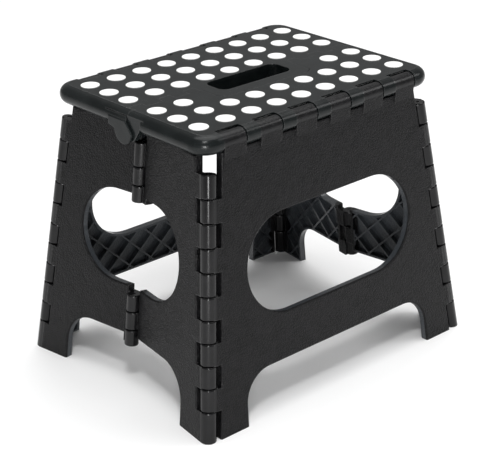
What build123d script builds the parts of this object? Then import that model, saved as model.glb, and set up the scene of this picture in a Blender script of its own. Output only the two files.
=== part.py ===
from build123d import *
import math
import os

# Folding step stool, in millimetres. +X runs along the long side, +Y to the back, +Z up, floor at z = 0.
# Every side hinge points at one of two apexes high above the stool, so the four sides fold like a spherical
# linkage: the end panels bend inward at their middle hinges while the top halves tip up like a roof ridge.
# Each top half turns about an axis in its own rounded edge, and the two meet at a low centre hinge.

# Driving dimensions
apex_height = 1189.0
apex_x = 13.0
corner_foot_x = 165.2
corner_foot_y = 128.9
middle_foot_x = 156.2
reference_height = 125.0

panel_thickness = 7.6
panel_skin = 2.6
panel_rim = 2.6
rib_width = 1.8
rib_spacing = 20.0
rib_reach = 420.0
middle_axis_offset = 8.4
hinge_gap = 0.6

corner_barrel_radius = 7.4
corner_edge_gap = 9.2
corner_web_depth = 14.0
corner_pin_ends = (3.0, 248.0)
corner_cuts = [249.0, 226.5, 204.5, 182.0, 159.5, 137.5, 115.5, 94.0, 72.5, 51.0, 29.0, -3.0]
middle_barrel_radius = 6.8
middle_edge_gap = 7.8
middle_web_depth = 12.0
upper_pin_ends = (190.0, 247.0)
lower_pin_ends = (45.0, 96.0)
barrel_rounding = 1.4
upper_cuts = [248.0, 224.0, 206.0, 189.0]
lower_cuts = [97.0, 79.5, 61.0, 44.0]
side_pin_radius = 2.0
middle_pin_radius = 1.8
running_clearance = 0.05
open_play = 0.5

window_length = 212.0
window_height = 97.4
window_centre = 143.9
arch_top = 49.3
arch_half_width = 119.0
arch_radius = 30.0
arch_flare = 3.0
long_seat = 267.0
long_pocket_top = 259.9
end_top = 260.0
end_window_reach = 71.0
end_window_height = 92.0
end_window_centre = 147.5
end_arch_top = 51.5
end_arch_reach = 87.0
end_arch_radius = 33.0
below_floor = -3.0
foot_sole = 3.5
rim_rounding = 1.6

top_height = 280.0
top_length = 294.0
top_width = 222.0
top_thickness = 18.0
top_corner_radius = 20.0
top_skin = 4.0
top_wall = 10.0
top_rib_spacing = 31.0
top_hinge_y = 102.0
top_hinge_z = 271.0
top_pin_radius = 2.2
top_pin_reach = 138.0
knuckle_pitch = 43.15
knuckle_width = 25.0
knuckle_radius = 8.2
knuckle_neck = [(-108.8, 254.0), (-101.5, 254.0), (-101.5, 260.0), (-97.0, 268.0), (-110.1, 271.0)]
notch_play = 1.0
notch_radius = 9.3
notch_lip = 5.5
notch_lip_drop = 1.4

half_cut_y = 4.0
seam_gap = 0.35
finger_reach = 5.0
finger_pairs = [(59.0, 72.0), (88.0, 103.0), (121.0, 135.5)]
tongue_half_width = 57.5
tongue_reach = 35.0
tongue_radius = 9.0
slot_length = 89.4
slot_width = 29.8
slot_y = -6.7
slot_radius = 9.0
slot_wall = 3.0
recess_reach = 60.8
recess_back = -42.0

centre_hinge_z = 261.0
lobe_radius = 12.5
lobe_top = 272.0
lobe_flare = 9.0
ear_inner_x = 145.8
ear_outer_x = 148.2
ear_sweep = 24.5
ear_rounding = 0.9
plate_inner_x = 139.4
plate_outer_x = 145.5
plate_lobe = [(-19.0, 262.0), (-13.5, 254.5), (-8.0, 251.5), (-2.5, 251.5), (-0.4, 255.0), (-0.4, 262.0)]
room_inner_x = 136.9
room_reach = 28.0
room_top = 276.4
seam_wall_y = 16.0
seam_wall = 2.5
seam_wall_reach = 137.0
handle_bar_drop = 14.0
handle_bar_slope = 4.5

dot_radius = 9.0
dot_height = 0.5
dot_depth = 1.2
dot_pitch = 31.0
dot_rows = [20.9, 50.05, 79.35]

underside = top_height - top_thickness
skin_floor = top_height - top_skin
wall_top = skin_floor + 0.5
far = 160.0


def corner_point(z):
    """Point on the hinge axis of the left front corner at height z."""
    share = z / apex_height
    return Vector(-corner_foot_x + (corner_foot_x - apex_x) * share, -corner_foot_y * (1 - share), z)


def middle_point(z):
    """Point on the middle hinge axis of the left end at height z."""
    return Vector(-middle_foot_x + (middle_foot_x - apex_x) * z / apex_height, 0, z)


def line_plane(foot, head):
    """Plane across a hinge axis at its foot, with its normal along the axis."""
    return Plane(origin=foot, x_dir=(1, 0, 0), z_dir=(head - foot).normalized())


corner_axis = line_plane(corner_point(0), corner_point(1))
middle_axis = line_plane(middle_point(0), middle_point(1))

# The long panel's inner face holds both of its corner axes.
front_lean = math.atan(corner_foot_y / apex_height)
front_face = Plane(
    origin=(0, -corner_foot_y, 0), x_dir=(1, 0, 0), z_dir=(0, -math.cos(front_lean), math.sin(front_lean))
)

# The end half-panel's inner face holds the corner axis; the middle axis lies just proud of its outer face.
end_arm = middle_point(reference_height) - corner_point(0)
end_arm = end_arm - corner_axis.z_dir * end_arm.dot(corner_axis.z_dir)
end_swing = math.asin(middle_axis_offset / end_arm.length)
end_across = corner_axis.z_dir.cross(end_arm.normalized())
end_normal = end_arm.normalized() * math.sin(end_swing) + end_across * math.cos(end_swing)
end_level = Vector(0, 0, 1).cross(end_normal).normalized()
end_rise = end_normal.cross(end_level)
end_origin = middle_point(0) - end_normal * (middle_point(0) - corner_point(0)).dot(end_normal)
end_face = Plane(
    origin=end_origin - end_rise * (end_origin.Z / end_rise.Z), x_dir=end_level, z_dir=end_normal
)


class Edge2D:
    """A hinge axis seen in a panel's face, as a foot point, a direction and the direction into the panel."""

    def __init__(self, face, foot, head, into_sign):
        low = face.to_local_coords(foot)
        high = face.to_local_coords(head)
        self.foot = (low.X, low.Y)
        length = math.hypot(high.X - low.X, high.Y - low.Y)
        self.along = ((high.X - low.X) / length, (high.Y - low.Y) / length)
        self.into = (into_sign * self.along[1], -into_sign * self.along[0])

    def at(self, distance, depth):
        """Point at a distance up the axis and a depth into the panel."""
        return (
            self.foot[0] + self.along[0] * distance + self.into[0] * depth,
            self.foot[1] + self.along[1] * distance + self.into[1] * depth,
        )


front_edge = Edge2D(front_face, corner_point(0), corner_point(200), 1)
end_corner_edge = Edge2D(end_face, corner_point(0), corner_point(200), -1)
end_middle_edge = Edge2D(end_face, middle_point(0), middle_point(200), 1)


def barrels(axis, edge, face, radius, spans, web_depth):
    """Hinge knuckles on an axis, each with the web that joins it to its panel."""
    for high, low in spans:
        bottom = low + hinge_gap / 2
        length = high - low - hinge_gap
        with BuildPart(mode=Mode.PRIVATE) as barrel:
            with BuildSketch(axis.offset(bottom)):
                Circle(radius)
            extrude(amount=length)
            fillet(barrel.edges().filter_by(GeomType.CIRCLE), barrel_rounding)
        add(barrel.part)
        with BuildSketch(face) as web:
            Polygon(
                edge.at(bottom, 0),
                edge.at(bottom + length, 0),
                edge.at(bottom + length, web_depth),
                edge.at(bottom, web_depth),
                align=None,
            )
        extrude(web.sketch, amount=panel_thickness)


def spans_of(cuts, first):
    """Every second span between the cuts, from the first or the second one."""
    pairs = list(zip(cuts[:-1], cuts[1:]))
    return pairs[first::2]


def bore(axis, low, high, radius):
    """Pin hole along an axis."""
    with BuildSketch(axis.offset(low)) as profile:
        Circle(radius)
    extrude(profile.sketch, amount=high - low, mode=Mode.SUBTRACT)


def trim_at_floor():
    """Cuts the feet flat on the floor."""
    with BuildSketch(Plane.XY) as profile:
        Rectangle(3 * far, 3 * far)
    extrude(profile.sketch, amount=2 * below_floor, mode=Mode.SUBTRACT)


def diagonal_ribs():
    """Crossed diagonal ribs, taken out of a sketch of pockets."""
    for angle in (45, -45):
        with Locations(Location((0, top_height / 2, 0), angle)):
            with GridLocations(rib_spacing, 1, int(rib_reach / rib_spacing), 1):
                Rectangle(rib_width, rib_reach, mode=Mode.SUBTRACT)


def long_outline(inset, bottom, top):
    """Face of the long panel: a trapezoid with an oval window over a low arch."""
    left_foot = front_edge.at(bottom, corner_edge_gap + inset)
    left_head = front_edge.at(top, corner_edge_gap + inset)
    Polygon(
        (left_foot[0], left_foot[1]),
        (-left_foot[0], left_foot[1]),
        (-left_head[0], left_head[1]),
        (left_head[0], left_head[1]),
        align=None,
    )
    with Locations((0, window_centre)):
        SlotOverall(window_length + 2 * inset, window_height + 2 * inset, mode=Mode.SUBTRACT)
    with BuildSketch(mode=Mode.PRIVATE) as arch:
        Polygon(
            (-arch_half_width - arch_flare - inset, 3 * below_floor),
            (arch_half_width + arch_flare + inset, 3 * below_floor),
            (arch_half_width + inset, arch_top + inset),
            (-arch_half_width - inset, arch_top + inset),
            align=None,
        )
        fillet(arch.vertices().group_by(Axis.Y)[-1], arch_radius + inset)
    add(arch.sketch, mode=Mode.SUBTRACT)


def end_outline(inset, bottom):
    """Face of an end half-panel: half an oval window over half an arch."""
    Polygon(
        end_middle_edge.at(bottom, middle_edge_gap + inset),
        end_corner_edge.at(bottom, corner_edge_gap + inset),
        end_corner_edge.at(end_top / corner_axis.z_dir.Z - inset, corner_edge_gap + inset),
        end_middle_edge.at(end_top / middle_axis.z_dir.Z - inset, middle_edge_gap + inset),
        align=None,
    )
    with Locations((0, end_window_centre)):
        SlotOverall(
            2 * end_window_reach + 2 * inset, end_window_height + 2 * inset, mode=Mode.SUBTRACT
        )
    with BuildSketch(mode=Mode.PRIVATE) as arch:
        Polygon(
            (-end_arch_radius, 3 * below_floor),
            (end_arch_reach + arch_flare + inset, 3 * below_floor),
            (end_arch_reach + inset, end_arch_top + inset),
            (-end_arch_radius, end_arch_top + inset),
            align=None,
        )
        fillet(arch.vertices().sort_by(Axis.X)[-2:].sort_by(Axis.Y)[-1], end_arch_radius + inset)
    add(arch.sketch, mode=Mode.SUBTRACT)


def knuckle_places():
    """Centres of the six knuckles along a long panel's top edge."""
    return [knuckle_pitch * (step + 0.5) for step in range(-3, 3)]


def block(low, high, mode=Mode.ADD):
    """Box between two corners."""
    with BuildSketch(Plane.XY.offset(low[2])) as profile:
        Polygon((low[0], low[1]), (high[0], low[1]), (high[0], high[1]), (low[0], high[1]), align=None)
    extrude(profile.sketch, amount=high[2] - low[2], mode=mode)


def both_ends(near, far):
    """The span from near to far along X, at the left and at the right."""
    return [(-far, -near), (near, far)]


def disc(x, width, y, z, radius, mode=Mode.ADD):
    """Short cylinder along X, starting at x."""
    with BuildSketch(Plane.YZ.offset(x)) as profile:
        with Locations((y, z)):
            Circle(radius)
    extrude(profile.sketch, amount=width, mode=mode)


with BuildPart() as front_panel:
    with BuildSketch(front_face):
        long_outline(0, below_floor, long_seat)
    extrude(amount=panel_thickness)
    outer_face = front_panel.faces().sort_by(Axis((0, 0, 0), front_face.z_dir))[-1]
    fillet(outer_face.edges(), rim_rounding)
    with BuildSketch(front_face):
        long_outline(panel_rim, foot_sole, long_pocket_top)
        diagonal_ribs()
    extrude(amount=panel_thickness - panel_skin, mode=Mode.SUBTRACT)
    # The top edge is hollowed to seat the rounded edge of the top, which turns in it.
    disc(-far, 2 * far, -top_hinge_y, top_hinge_z, notch_radius, Mode.SUBTRACT)
    for place in knuckle_places():
        with BuildSketch(Plane.YZ.offset(place - knuckle_width / 2)):
            with Locations((-top_hinge_y, top_hinge_z)):
                Circle(knuckle_radius)
            Polygon(*knuckle_neck, align=None)
        extrude(amount=knuckle_width)
    barrels(
        corner_axis, front_edge, front_face, corner_barrel_radius, spans_of(corner_cuts, 1), corner_web_depth
    )
    bore(corner_axis, 3 * below_floor, end_top + 5, side_pin_radius + running_clearance)
    mirror(about=Plane.YZ)
    disc(-far, 2 * far, -top_hinge_y, top_hinge_z, top_pin_radius + running_clearance, Mode.SUBTRACT)
    trim_at_floor()

with BuildPart() as back_panel:
    mirror(front_panel.part, about=Plane.XZ)


def end_half(first_upper, corner_play):
    """End half-panel of the left front quarter; the middle knuckles alternate between the two halves."""
    with BuildPart() as half:
        with BuildSketch(end_face):
            end_outline(0, below_floor)
        extrude(amount=panel_thickness)
        outer_face = half.faces().sort_by(Axis((0, 0, 0), end_face.z_dir))[-1]
        fillet(outer_face.edges(), rim_rounding)
        with BuildSketch(end_face):
            end_outline(panel_rim, foot_sole)
            diagonal_ribs()
        extrude(amount=panel_thickness - panel_skin, mode=Mode.SUBTRACT)
        outer = spans_of(corner_cuts, 0)
        barrels(corner_axis, end_corner_edge, end_face, corner_barrel_radius, outer, corner_web_depth)
        inner = spans_of(upper_cuts, first_upper) + spans_of(lower_cuts, 1 - first_upper)
        barrels(middle_axis, end_middle_edge, end_face, middle_barrel_radius, inner, middle_web_depth)
        bore(corner_axis, 3 * below_floor, end_top + 5, side_pin_radius + corner_play)
        bore(middle_axis, lower_cuts[-1] - 4, end_top + 5, middle_pin_radius + running_clearance)
        trim_at_floor()
    return half.part


def moved_half(half, to_right, to_back):
    """The same half-panel, mirrored to another quarter of the stool."""
    with BuildPart() as placed:
        add(half)
        if to_right:
            mirror(about=Plane.YZ, mode=Mode.REPLACE)
        if to_back:
            mirror(placed.part, about=Plane.XZ, mode=Mode.REPLACE)
    return placed.part


front_half = end_half(0, running_clearance)
back_half = end_half(1, running_clearance)
open_half = end_half(1, open_play)
left_front_half = moved_half(front_half, False, False)
right_front_half = moved_half(front_half, True, False)
right_back_half = moved_half(back_half, True, True)
left_back_half = moved_half(open_half, False, True)

# Top slab: a hollow rounded slab with a full-round edge and a ribbed underside, later cut into two halves.
with BuildPart() as slab:
    with BuildSketch(Plane.XY.offset(underside)):
        RectangleRounded(top_length, top_width, top_corner_radius)
    extrude(amount=top_thickness)
    fillet(slab.faces().sort_by(Axis.Z)[-1].edges(), top_thickness / 2 - 0.1)
    fillet(slab.faces().sort_by(Axis.Z)[0].edges(), top_thickness / 2 - 0.1)
    with BuildSketch(Plane.XY.offset(underside)):
        RectangleRounded(top_length - 2 * top_wall, 2 * (top_hinge_y - notch_radius), top_wall)
        with GridLocations(top_rib_spacing, 1, 9, 1):
            Rectangle(rib_width, top_width, mode=Mode.SUBTRACT)
        with GridLocations(1, top_rib_spacing, 1, 6):
            Rectangle(top_length, rib_width, mode=Mode.SUBTRACT)
    extrude(amount=top_thickness - top_skin, mode=Mode.SUBTRACT)
    for side in (-1, 1):
        pin_hole = top_pin_radius + running_clearance
        disc(-top_pin_reach - 0.5, 2 * far, side * top_hinge_y, top_hinge_z, pin_hole, Mode.SUBTRACT)
        for place in knuckle_places():
            start = place - knuckle_width / 2 - notch_play
            width = knuckle_width + 2 * notch_play
            disc(start, width, side * top_hinge_y, top_hinge_z, notch_radius, Mode.SUBTRACT)
            with BuildSketch(Plane.YZ.offset(start)):
                Polygon(
                    (side * (top_width / 2 + 1), underside - 1),
                    (side * (top_width / 2 + 1), top_height + 1),
                    (side * (top_hinge_y - notch_lip), top_height + 1),
                    (side * (top_hinge_y - notch_lip), top_height - notch_lip_drop),
                    (side * top_hinge_y, top_hinge_z),
                    (side * (top_hinge_y - notch_radius), top_hinge_z),
                    (side * (top_hinge_y - notch_radius), underside - 1),
                    align=None,
                )
            extrude(amount=width, mode=Mode.SUBTRACT)
    # Room under the skin where the centre hinges swing.
    for low, high in both_ends(room_inner_x, plate_outer_x + 0.1):
        block((low, -room_reach, underside - 1), (high, room_reach, room_top), Mode.SUBTRACT)


def fingers(play):
    """Seam fingers of the front half, on both sides of the handle."""
    for low, high in finger_pairs:
        for side in (-1, 1):
            with Locations((side * (low + high) / 2, 0)):
                Rectangle(high - low + 2 * play, 2 * (finger_reach + play))


def tongue(play):
    """Plan of the handle tongue."""
    with Locations((0, -tongue_reach / 2 + 10)):
        RectangleRounded(2 * (tongue_half_width + play), tongue_reach + 20 + 2 * play, tongue_radius)


with BuildPart() as top_front_half:
    add(slab.part)
    with BuildSketch(Plane.XY.offset(underside - 1)):
        with Locations((0, -half_cut_y - seam_gap)):
            Rectangle(2 * far, far, align=(Align.CENTER, Align.MAX))
        fingers(-seam_gap)
        with BuildSketch(mode=Mode.PRIVATE) as recess:
            tongue(2 * seam_gap)
        add(recess.sketch, mode=Mode.SUBTRACT)
    extrude(amount=top_thickness + 2, mode=Mode.INTERSECT)
    seam_floor = (seam_wall_reach, seam_wall_y, skin_floor)
    block((-seam_wall_reach, -seam_wall_y, underside - 1), seam_floor, Mode.SUBTRACT)
    block((-recess_reach, recess_back, underside - 1), (recess_reach, 0, skin_floor), Mode.SUBTRACT)
    for low, high in both_ends(recess_reach - seam_wall, room_inner_x):
        block((low, -seam_wall_y - seam_wall, underside), (high, -seam_wall_y, wall_top))
    for low, high in both_ends(recess_reach - seam_wall, recess_reach):
        block((low, recess_back - seam_wall, underside), (high, -seam_wall_y, wall_top))
    block((-recess_reach, recess_back - seam_wall, underside), (recess_reach, recess_back, wall_top))
    for low, high in both_ends(plate_outer_x, top_length / 2 + 1):
        block((low, -ear_sweep, underside - 1), (high, 10, top_height + 1), Mode.SUBTRACT)
    for low, high in both_ends(plate_inner_x, plate_outer_x):
        with BuildSketch(Plane.YZ.offset(low)):
            Polygon(*plate_lobe, (-seam_gap - 4.5, room_top + 0.5), (-room_reach, room_top + 0.5), align=None)
        extrude(amount=high - low)

with BuildPart() as top_back_half:
    add(slab.part)
    with BuildSketch(Plane.XY.offset(underside - 1)):
        with Locations((0, -half_cut_y)):
            Rectangle(2 * far, far, align=(Align.CENTER, Align.MIN))
        with BuildSketch(mode=Mode.PRIVATE) as pockets:
            fingers(0)
        add(pockets.sketch, mode=Mode.SUBTRACT)
        tongue(0)
    extrude(amount=top_thickness + 2, mode=Mode.INTERSECT)
    block((-seam_wall_reach, recess_back, underside - 1), seam_floor, Mode.SUBTRACT)
    for low, high in both_ends(slot_length / 2 + slot_wall - 1, room_inner_x):
        block((low, seam_wall_y, underside), (high, seam_wall_y + seam_wall, wall_top))
    # The handle bar, in front of the slot, has a sloped lower edge that swings clear of its recess.
    with BuildSketch(Plane.YZ.offset(tongue_radius - tongue_half_width)):
        Polygon(
            (-tongue_reach, wall_top),
            (-tongue_reach, skin_floor),
            (-tongue_reach + handle_bar_slope, top_height - handle_bar_drop),
            (slot_y - slot_width / 2 - 1, top_height - handle_bar_drop),
            (slot_y - slot_width / 2 - 1, wall_top),
            align=None,
        )
    extrude(amount=2 * (tongue_half_width - tongue_radius))
    with BuildSketch(Plane.XY.offset(underside + 4)):
        with Locations((0, slot_y)):
            RectangleRounded(slot_length + 2 * slot_wall, slot_width + 2 * slot_wall, slot_radius + slot_wall)
    extrude(amount=top_thickness - top_skin - 4)
    with BuildSketch(Plane.XY.offset(underside - 1)):
        with Locations((0, slot_y)):
            RectangleRounded(slot_length, slot_width, slot_radius)
    extrude(amount=top_thickness + 2, mode=Mode.SUBTRACT)
    for low, high in both_ends(ear_inner_x, ear_outer_x):
        with BuildPart(mode=Mode.PRIVATE) as ear:
            with BuildSketch(Plane.YZ.offset(low)):
                with Locations((0, centre_hinge_z)):
                    Circle(lobe_radius)
                    Rectangle(2 * far, far, align=(Align.CENTER, Align.MIN), mode=Mode.SUBTRACT)
                Polygon(
                    (-lobe_radius, centre_hinge_z),
                    (lobe_radius, centre_hinge_z),
                    (lobe_radius + lobe_flare, underside + 1),
                    (lobe_radius + lobe_flare, lobe_top),
                    (-4, lobe_top),
                    align=None,
                )
            extrude(amount=high - low)
            outside = ear.faces().sort_by(Axis.X)[-1 if low > 0 else 0]
            fillet(outside.edges(), ear_rounding)
        add(ear.part)

# White grip dots, set in shallow recesses of the top.
dot_columns = [dot_pitch * step for step in range(-4, 5)]
back_dot_places = [(x, y) for x in dot_columns for y in dot_rows]
front_dot_places = [(x, -y) for x in dot_columns for y in dot_rows if y > dot_rows[0] or abs(x) > 80]


def grip_dots(places):
    """One round pad at each place."""
    with BuildPart() as dots:
        with BuildSketch(Plane.XY.offset(top_height - dot_depth)):
            with Locations(*places):
                Circle(dot_radius)
        extrude(amount=dot_depth + dot_height)
    return dots.part


front_grip_dots = grip_dots(front_dot_places)
back_grip_dots = grip_dots(back_dot_places)
front_top = top_front_half.part - front_grip_dots
back_top = top_back_half.part - back_grip_dots


def pin(plane, low, high, radius):
    """Round hinge pin along a plane's normal."""
    with BuildPart() as rod:
        with BuildSketch(plane.offset(low)):
            Circle(radius)
        extrude(amount=high - low)
    return rod.part


corner_pin = pin(corner_axis, *corner_pin_ends, side_pin_radius)
upper_pin = pin(middle_axis, *upper_pin_ends, middle_pin_radius)
lower_pin = pin(middle_axis, *lower_pin_ends, middle_pin_radius)
top_axis = Plane(origin=(0, -top_hinge_y, top_hinge_z), x_dir=(0, 1, 0), z_dir=(1, 0, 0))
top_pin = pin(top_axis, -top_pin_reach, top_pin_reach, top_pin_radius)

pieces = {
    "front_panel": front_panel.part,
    "back_panel": back_panel.part,
    "left_front_half_panel": left_front_half,
    "left_back_half_panel": left_back_half,
    "right_front_half_panel": right_front_half,
    "right_back_half_panel": right_back_half,
    "top_front_half": front_top,
    "top_back_half": back_top,
    "front_grip_dots": front_grip_dots,
    "back_grip_dots": back_grip_dots,
    "front_top_pin": top_pin,
    "back_top_pin": mirror(top_pin, about=Plane.XZ),
    "left_front_corner_pin": corner_pin,
    "left_back_corner_pin": mirror(corner_pin, about=Plane.XZ),
    "right_front_corner_pin": mirror(corner_pin, about=Plane.YZ),
    "right_back_corner_pin": mirror(mirror(corner_pin, about=Plane.YZ), about=Plane.XZ),
    "left_upper_end_pin": upper_pin,
    "left_lower_end_pin": lower_pin,
    "right_upper_end_pin": mirror(upper_pin, about=Plane.YZ),
    "right_lower_end_pin": mirror(lower_pin, about=Plane.YZ),
}

os.makedirs("parts", exist_ok=True)
for name, piece in pieces.items():
    piece.label = name
    export_step(piece, f"parts/{name}.step")
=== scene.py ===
import math

import bmesh
import bpy
from mathutils import Matrix, Vector

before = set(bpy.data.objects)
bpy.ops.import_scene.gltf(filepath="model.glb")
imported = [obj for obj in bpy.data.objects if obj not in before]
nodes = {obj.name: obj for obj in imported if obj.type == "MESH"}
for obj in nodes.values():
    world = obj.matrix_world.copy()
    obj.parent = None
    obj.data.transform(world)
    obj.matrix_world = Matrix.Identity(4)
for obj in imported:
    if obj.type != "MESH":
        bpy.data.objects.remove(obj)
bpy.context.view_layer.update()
print("frame loaded:", len(nodes), "moulded parts")


# Camera: standing off the left front corner, a little above the top.
camera = {
    "place": (-0.944153, -1.070757, 0.75498),
    "turn": -41.756,
    "lift": 23.956,
    "roll": -0.964,
    "lens": 112.53,
    "shift": (-0.0115, 0.0012),
}


def makeCamera():
    turn, lift, roll = (math.radians(camera[key]) for key in ("turn", "lift", "roll"))
    back = Vector((math.sin(turn) * math.cos(lift), -math.cos(turn) * math.cos(lift), math.sin(lift)))
    right = Vector((math.cos(turn), math.sin(turn), 0))
    up = back.cross(right)
    rolledRight = math.cos(roll) * right + math.sin(roll) * up
    rolledUp = math.cos(roll) * up - math.sin(roll) * right
    data = bpy.data.cameras.new("camera")
    data.sensor_width = 36
    data.lens = camera["lens"]
    data.shift_x, data.shift_y = camera["shift"]
    data.clip_end = 20
    made = bpy.data.objects.new("camera", data)
    bpy.context.scene.collection.objects.link(made)
    turned = Matrix((rolledRight, rolledUp, back)).transposed().to_4x4()
    made.matrix_world = Matrix.Translation(camera["place"]) @ turned
    bpy.context.scene.camera = made


makeCamera()
print("camera ready")


# Light: a dim white room with a large soft box overhead and three small ones on the camera's side.
studio = {
    "roomColour": (1.0, 1.0, 1.0),
    "roomStrength": 0.36,
    "floorColour": (0.94, 0.94, 0.94),
    "floorRoughness": 0.9,
    "floorSize": 6.0,
    "boxes": [
        # name, place, aim, size, watts
        ("topBox", (0.7, 0.4, 4.0), (0, 0.4, 0.1), 4.0, 150.0),
        ("keyBox", (-0.75, -0.80, 1.65), (0, 0, 0.2), 0.24, 10.0),
        ("sideBox", (1.3, -1.0, 1.3), (0, 0, 0.15), 0.5, 4.0),
        ("lowBox", (-1.12, -1.22, 0.30), (0, 0, 0.12), 0.30, 14.0),
    ],
}


def makeLights():
    world = bpy.data.worlds.new("room")
    bpy.context.scene.world = world
    world.use_nodes = True
    paint = world.node_tree.nodes["Background"]
    paint.inputs["Color"].default_value = (*studio["roomColour"], 1)
    paint.inputs["Strength"].default_value = studio["roomStrength"]
    for name, place, aim, size, watts in studio["boxes"]:
        data = bpy.data.lights.new(name, "AREA")
        data.shape = "SQUARE"
        data.size = size
        data.energy = watts
        made = bpy.data.objects.new(name, data)
        bpy.context.scene.collection.objects.link(made)
        look = (Vector(aim) - Vector(place)).to_track_quat("-Z", "Y")
        made.matrix_world = Matrix.Translation(place) @ look.to_matrix().to_4x4()
    bpy.context.scene.view_settings.view_transform = "Standard"


makeLights()


# Edges: every sharp edge of the mouldings is rounded a little, and rubbed glossier than the flat.
edgeLook = {"samples": 8, "turn": (0.01, 0.12)}


class Wire:
    # One output of a material's node, which can be used in plain sums.
    def __init__(self, finish, socket):
        self.finish = finish
        self.socket = socket

    def calc(self, operation, *values):
        return self.finish.node("Math", {"operation": operation}, dict(enumerate(values)))

    def __add__(self, other):
        return self.calc("ADD", self, other)

    def __radd__(self, other):
        return self.calc("ADD", other, self)

    def __sub__(self, other):
        return self.calc("SUBTRACT", self, other)

    def __rsub__(self, other):
        return self.calc("SUBTRACT", other, self)

    def __mul__(self, other):
        return self.calc("MULTIPLY", self, other)

    def __rmul__(self, other):
        return self.calc("MULTIPLY", other, self)

    def __truediv__(self, other):
        return self.calc("DIVIDE", self, other)

    def __abs__(self):
        return self.calc("ABSOLUTE", self)

    def lengthWith(self, other):
        return self.calc("SQRT", self * self + other * other)

    def least(self, other):
        return self.calc("MINIMUM", self, other)

    def most(self, other):
        return self.calc("MAXIMUM", self, other)

    def nearestStep(self):
        # distance to the nearest whole number, 0 to 0.5
        return abs(self.calc("FRACT", self + 0.5) - 0.5)

    def ramp(self, low, high):
        # 0 below low, 1 above high, smooth between
        inputs = {"Value": self, "From Min": low, "From Max": high}
        return self.finish.node("MapRange", {"interpolation_type": "SMOOTHSTEP"}, inputs)


class Finish:
    def __init__(self, name):
        self.material = bpy.data.materials.new(name)
        self.material.use_nodes = True
        self.tree = self.material.node_tree
        self.shader = self.tree.nodes["Principled BSDF"]
        self.place = self.node("TexCoord", output="Object")
        self.x, self.y, self.z = (
            self.node("SeparateXYZ", inputs={"Vector": self.place}, output=axis) for axis in "XYZ"
        )

    def node(self, kind, settings=None, inputs=None, output=0):
        made = self.tree.nodes.new("ShaderNode" + kind)
        for name, value in (settings or {}).items():
            setattr(made, name, value)
        for key, value in (inputs or {}).items():
            self.feed(made.inputs[key], value)
        return Wire(self, made.outputs[output])

    def feed(self, socket, value):
        if isinstance(value, Wire):
            self.tree.links.new(value.socket, socket)
        else:
            socket.default_value = value

    def noise(self, scale, detail=2.0, roughness=0.5):
        inputs = {"Vector": self.place, "Scale": scale, "Detail": detail, "Roughness": roughness}
        return self.node("TexNoise", inputs=inputs)

    def blend(self, share, first, second):
        settings = {"data_type": "RGBA"}
        ends = [end if isinstance(end, Wire) else (*end, 1) for end in (first, second)]
        return self.node("Mix", settings, {"Factor": share, 6: ends[0], 7: ends[1]}, output=2)

    def set(self, **values):
        names = {"colour": "Base Color", "roughness": "Roughness", "normal": "Normal",
                 "shine": "Specular IOR Level", "coat": "Coat Weight",
                 "coatRoughness": "Coat Roughness"}
        for key, value in values.items():
            self.feed(self.shader.inputs[names[key]], value)

    def relief(self, height, depth, below):
        # height runs 0 to 1, and 1 stands depth metres proud of the surface below
        inputs = {"Height": height, "Strength": 1.0, "Distance": depth, "Normal": below}
        return self.node("Bump", inputs=inputs)

    def rounded(self, radius):
        # the surface's direction, with its sharp edges looking rounded
        return self.node("Bevel", {"samples": edgeLook["samples"]}, {"Radius": radius})

    def edgeMask(self, rounded):
        # 1 where rounding turns the surface, 0 on the flat
        true = self.node("NewGeometry", output="Normal")
        along = self.node("VectorMath", {"operation": "DOT_PRODUCT"}, {0: rounded, 1: true}, output="Value")
        return (1 - along).ramp(*edgeLook["turn"])


def dress(finish, names):
    for name in names:
        slots = nodes[name].data.materials
        slots.clear()
        slots.append(finish.material)


# Hinge lines: the knuckles on them are polished smooth by rubbing. Each line leans in as it rises.
hingeLook = {
    "corner": ((0.1652, 0.12801), (0.1289, 0.10841)),  # foot and lean along X, then along Y
    "middle": ((0.1562, 0.12044), (0.0, 0.0)),
    "top": (0.102, 0.271),  # place along Y, and height
    "reach": (0.0077, 0.0090),  # where a knuckle ends and the flat begins
    "pocketReach": (0.0130, 0.0160),
    "panelDepth": 0.0077,
    "middleProud": 0.0084,
}


def hingeOffset(finish, key, axis):
    # how far out a hinge line lies at a point's height, along X (0) or Y (1)
    foot, lean = hingeLook[key][axis]
    return foot - finish.z * lean


def hingeDistance(finish):
    # how far a point lies from the nearest hinge line, seen from above or along the top hinge
    width, depth = abs(finish.x), abs(finish.y)
    nearest = (depth - hingeLook["top"][0]).lengthWith(finish.z - hingeLook["top"][1])
    for key in ("corner", "middle"):
        offX = width - hingeOffset(finish, key, 0)
        offY = depth - hingeOffset(finish, key, 1)
        nearest = nearest.least(offX.lengthWith(offY))
    return nearest


# Side panels: charcoal moulded plastic with a leather grain outside, and glossier rib pockets behind, painted
# a lighter grey as painted light where light through the windows would fall.
panelLook = {
    "dark": (0.0028, 0.0028, 0.0031),
    "light": (0.0062, 0.0060, 0.0066),
    # painted light: the lighter grey of the rib pockets, standing in for light falling on them
    "paintedPocketLight": (0.034, 0.038, 0.043),
    "insideStart": (0.0019, 0.0025),
    "roughness": 0.36,
    "roughnessDrift": 0.18,
    "pebblePolish": 0.05,
    "knucklePolish": 0.16,
    "shine": 0.16,
    "knuckleGloss": 0.25,
    "insideGloss": 0.6,
    "coatRoughness": 0.16,
    "cloud": 90.0,
    "cloudRange": (0.3, 0.7),
    "cloudShare": 0.9,
    "pebble": 430.0,
    "pebbleEdge": (0.0, 0.28),
    "pebbleShare": 0.55,
    "speck": 1500.0,
    "speckShare": 0.25,
    "ribSpacing": 0.020,
    "ribMiddle": 0.140,
    "sinkReach": (0.0, 0.00256),
    "sinkShare": 0.15,
    "grainDepth": 0.00048,
    "rounding": 0.0009,
}


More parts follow.
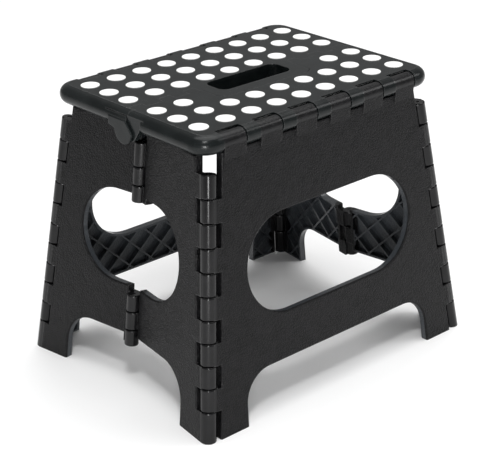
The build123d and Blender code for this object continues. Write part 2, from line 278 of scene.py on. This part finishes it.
def skinDepth(finish, alongEnd):
    # how far a point lies behind the outer face of its panel, whose inner face holds the corner hinge lines
    cornerY = hingeOffset(finish, "corner", 1)
    if not alongEnd:
        return cornerY + hingeLook["panelDepth"] - abs(finish.y)
    middleX = hingeOffset(finish, "middle", 0) - hingeLook["middleProud"]
    cornerX = hingeOffset(finish, "corner", 0)
    innerX = middleX + (cornerX - middleX) * (abs(finish.y) / cornerY)
    return innerX + hingeLook["panelDepth"] - abs(finish.x)


def sinkMarks(finish, alongEnd):
    # 0 over the diagonal ribs, where the skin has sunk a little, and 1 between them
    look = panelLook
    across = abs(finish.y) if alongEnd else finish.x
    up = finish.z - look["ribMiddle"]
    span = look["ribSpacing"] * math.sqrt(2)
    rising = ((across + up) / span).nearestStep()
    falling = ((across - up) / span).nearestStep()
    return (rising.least(falling) * look["ribSpacing"]).ramp(*look["sinkReach"])


def panelFinish(name, alongEnd):
    finish = Finish(name)
    look = panelLook
    fromHinge = hingeDistance(finish)
    flat = fromHinge.ramp(*hingeLook["reach"])
    knuckle = 1 - flat
    awayFromHinge = fromHinge.ramp(*hingeLook["pocketReach"])
    # painted light: mask of the rib pockets behind the skin, away from the knuckles; it paints them lighter
    # grey and also makes them glossier
    paintedPocketLight = skinDepth(finish, alongEnd).ramp(*look["insideStart"]) * awayFromHinge
    cloud = finish.noise(look["cloud"], 3.0)
    cells = finish.node(
        "TexVoronoi",
        {"feature": "DISTANCE_TO_EDGE"},
        {"Vector": finish.place, "Scale": look["pebble"]},
        output="Distance",
    )
    pebble = cells.ramp(*look["pebbleEdge"])
    speck = finish.noise(look["speck"])
    grain = pebble * look["pebbleShare"] + speck * look["speckShare"] + cloud * look["cloudShare"]
    height = flat * (grain + sinkMarks(finish, alongEnd) * look["sinkShare"])
    rounded = finish.rounded(look["rounding"])
    glossyFlat = (knuckle * look["knuckleGloss"]).most(paintedPocketLight * look["insideGloss"])
    skinColour = finish.blend(cloud.ramp(*look["cloudRange"]), look["dark"], look["light"])
    drift = (cloud - 0.5) * look["roughnessDrift"] - pebble * look["pebblePolish"]
    # the colour is the random cloud tone, with the painted light of the rib pockets blended in
    finish.set(
        colour=finish.blend(paintedPocketLight, skinColour, look["paintedPocketLight"]),
        roughness=look["roughness"] + flat * drift - knuckle * look["knucklePolish"],
        shine=look["shine"],
        coat=glossyFlat.most(finish.edgeMask(rounded)),
        coatRoughness=look["coatRoughness"],
        normal=finish.relief(height, look["grainDepth"], rounded),
    )
    return finish


longFinish = panelFinish("longPanelPlastic", False)
endFinish = panelFinish("endPanelPlastic", True)
dress(longFinish, ["front_panel", "back_panel"])
dress(endFinish, [name for name in nodes if name.endswith("half_panel")])
print("panels finished")


# Top: the same plastic, smoother, with a fine bead just inside its rounded edge.
topLook = {
    "dark": (0.0036, 0.0050, 0.0052),
    "light": (0.0075, 0.0094, 0.0096),
    "roughness": 0.24,
    "cloudDrift": 0.12,
    "grainDrift": 0.1,
    "shine": 0.22,
    "coatRoughness": 0.14,
    "cloud": 60.0,
    "cloudRange": (0.3, 0.7),
    "grain": 900.0,
    "grainDepth": 0.00006,
    "halfSize": (0.147, 0.111),
    "cornerRadius": 0.020,
    "beadInset": 0.0088,
    "beadWidth": 0.0014,
    "beadHeight": 0.00035,
    "rounding": 0.0011,
}


def edgeDistance(finish, halfSize, radius):
    # distance in from the outline of a rounded rectangle
    sideX = abs(finish.x) - (halfSize[0] - radius)
    sideY = abs(finish.y) - (halfSize[1] - radius)
    outside = sideX.most(0.0).lengthWith(sideY.most(0.0))
    return radius - (outside + sideX.most(sideY).least(0.0))


topFinish = Finish("topPlastic")
inward = edgeDistance(topFinish, topLook["halfSize"], topLook["cornerRadius"])
bead = 1 - abs(inward - topLook["beadInset"]).ramp(0.0, topLook["beadWidth"])
topCloud = topFinish.noise(topLook["cloud"], 3.0)
fineGrain = topFinish.noise(topLook["grain"], 3.0, 0.6)
topRounded = topFinish.rounded(topLook["rounding"])
grainRelief = topFinish.relief(fineGrain, topLook["grainDepth"], topRounded)
beadRelief = topFinish.relief(bead, topLook["beadHeight"], grainRelief)
topDrift = (topCloud - 0.5) * topLook["cloudDrift"] + (fineGrain - 0.5) * topLook["grainDrift"]
topFinish.set(
    colour=topFinish.blend(topCloud.ramp(*topLook["cloudRange"]), topLook["dark"], topLook["light"]),
    roughness=topLook["roughness"] + topDrift,
    shine=topLook["shine"],
    coat=topFinish.edgeMask(topRounded),
    coatRoughness=topLook["coatRoughness"],
    normal=beadRelief,
)
dress(topFinish, ["top_front_half", "top_back_half"])
print("top finished")


# Grip dots: soft white rubbery plastic, a little dull in patches.
dotLook = {
    "clean": (0.87, 0.87, 0.86),
    "dull": (0.74, 0.74, 0.72),
    "roughness": 0.55,
    "grainDrift": 0.2,
    "cloud": 120.0,
    "cloudRange": (0.45, 0.95),
    "grain": 1400.0,
    "grainDepth": 0.00005,
    "rounding": 0.0003,
}
dotFinish = Finish("dotPlastic")
dotGrain = dotFinish.noise(dotLook["grain"])
dotCloud = dotFinish.noise(dotLook["cloud"])
dotFinish.set(
    colour=dotFinish.blend(dotCloud.ramp(*dotLook["cloudRange"]), dotLook["clean"], dotLook["dull"]),
    roughness=dotLook["roughness"] + (dotGrain - 0.5) * dotLook["grainDrift"],
    normal=dotFinish.relief(dotGrain, dotLook["grainDepth"], dotFinish.rounded(dotLook["rounding"])),
)
dress(dotFinish, ["front_grip_dots", "back_grip_dots"])
print("dots finished")


# Hinge pins: smooth black plastic.
pinLook = {
    "dark": (0.006, 0.006, 0.007),
    "light": (0.014, 0.014, 0.015),
    "roughness": 0.3,
    "grainDrift": 0.2,
    "grain": 700.0,
    "grainRange": (0.3, 0.7),
    "grainDepth": 0.00003,
    "rounding": 0.0004,
}
pinFinish = Finish("pinPlastic")
pinGrain = pinFinish.noise(pinLook["grain"], 3.0)
pinFinish.set(
    colour=pinFinish.blend(pinGrain.ramp(*pinLook["grainRange"]), pinLook["dark"], pinLook["light"]),
    roughness=pinLook["roughness"] + (pinGrain - 0.5) * pinLook["grainDrift"],
    normal=pinFinish.relief(pinGrain, pinLook["grainDepth"], pinFinish.rounded(pinLook["rounding"])),
)
dress(pinFinish, [name for name in nodes if name.endswith("_pin")])
print("pins finished")


# Pale studio floor.
def makeFloor():
    mesh = bpy.data.meshes.new("floor")
    shape = bmesh.new()
    bmesh.ops.create_grid(shape, x_segments=1, y_segments=1, size=studio["floorSize"] / 2)
    shape.to_mesh(mesh)
    shape.free()
    floor = bpy.data.objects.new("floor", mesh)
    bpy.context.scene.collection.objects.link(floor)
    finish = Finish("floorPaint")
    finish.set(colour=(*studio["floorColour"], 1), roughness=studio["floorRoughness"])
    mesh.materials.append(finish.material)


makeFloor()
print("floor ready")
